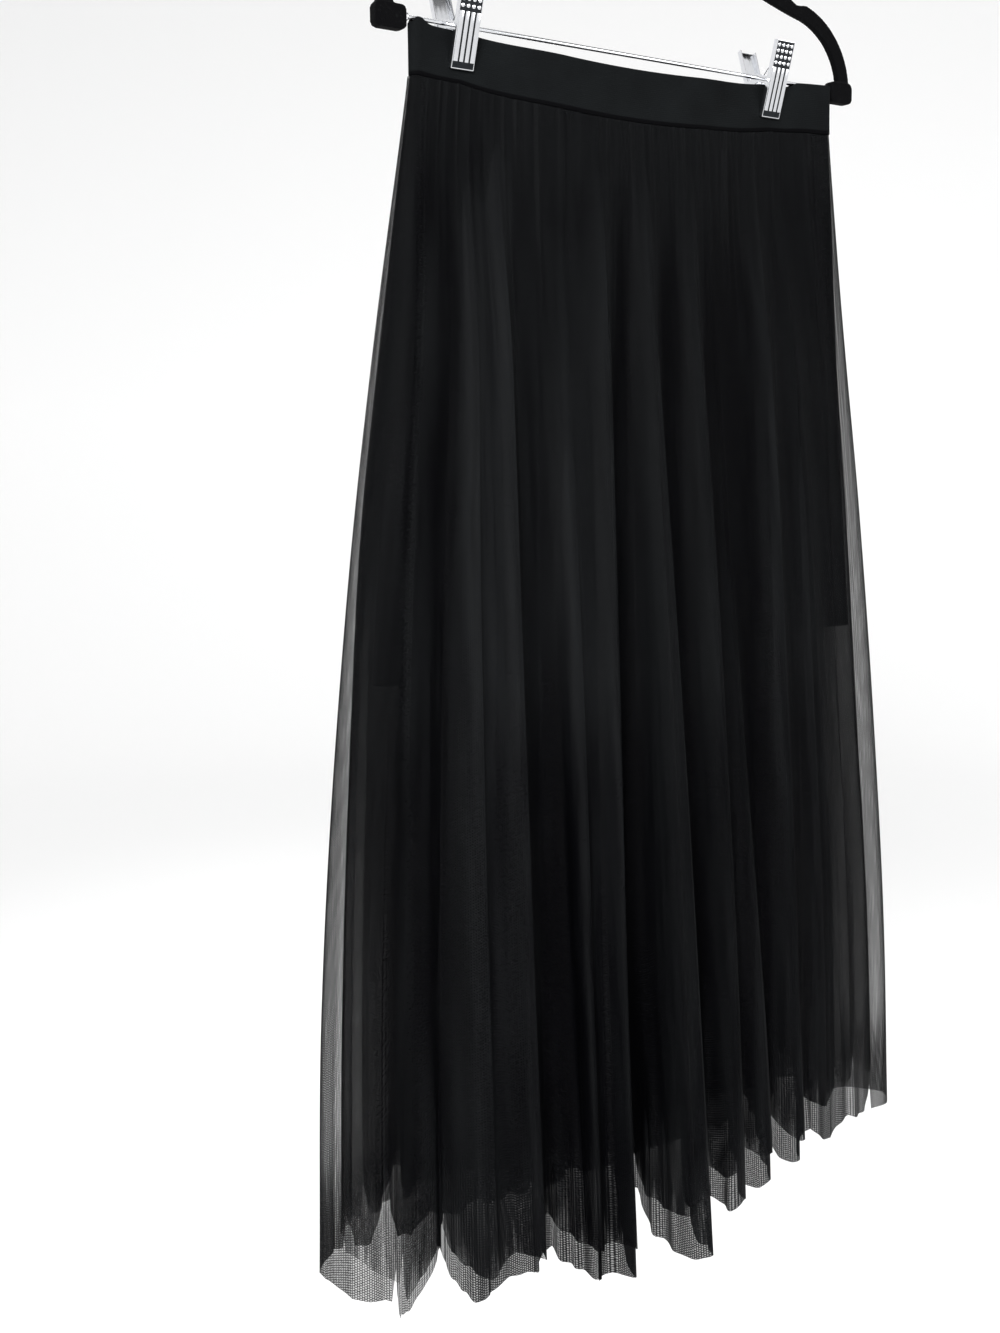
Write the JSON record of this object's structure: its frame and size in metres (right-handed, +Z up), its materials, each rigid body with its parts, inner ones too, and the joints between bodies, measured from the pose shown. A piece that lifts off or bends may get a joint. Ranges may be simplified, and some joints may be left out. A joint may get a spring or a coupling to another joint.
{
  "type": "tulle skirt on clip hanger",
  "caption": "Long semi-sheer tulle skirt with an elastic waistband and a short opaque slip, hanging from a flocked clip hanger.",
  "frame": {"origin": "inner top of the hanger's hook, where it sits on a rail", "axes": "+Z up, the skirt's front faces -Y, the hanger's arms run along X with +X to the viewer's right"},
  "size_m": [0.573, 0.2116, 1.1201],
  "materials": {
    "tulle": "fine black nylon net, semi-sheer, raw cut hem",
    "slip_jersey": "matt black knit jersey",
    "elastic": "matt black ribbed elastic",
    "flock": "black velvet flocking on moulded plastic",
    "chrome": "bright nickel-chrome plate",
    "pvc": "soft black vinyl"
  },
  "bodies": {
    "root": {"waistband": "elastic", "outer_tulle_front": "tulle", "outer_tulle_back": "tulle", "inner_tulle_front": "tulle", "inner_tulle_back": "tulle", "slip_front": "slip_jersey", "slip_back": "slip_jersey", "hanger_body": "flock", "hanger_hook": "chrome", "hanger_rod": "chrome", "clip_left_front": "chrome", "clip_left_front_pad": "pvc", "clip_left_back": "chrome", "clip_left_back_pad": "pvc", "clip_left_spring": "chrome", "clip_right_front": "chrome", "clip_right_front_pad": "pvc", "clip_right_back": "chrome", "clip_right_back_pad": "pvc", "clip_right_spring": "chrome"}
  },
  "joints": []
}
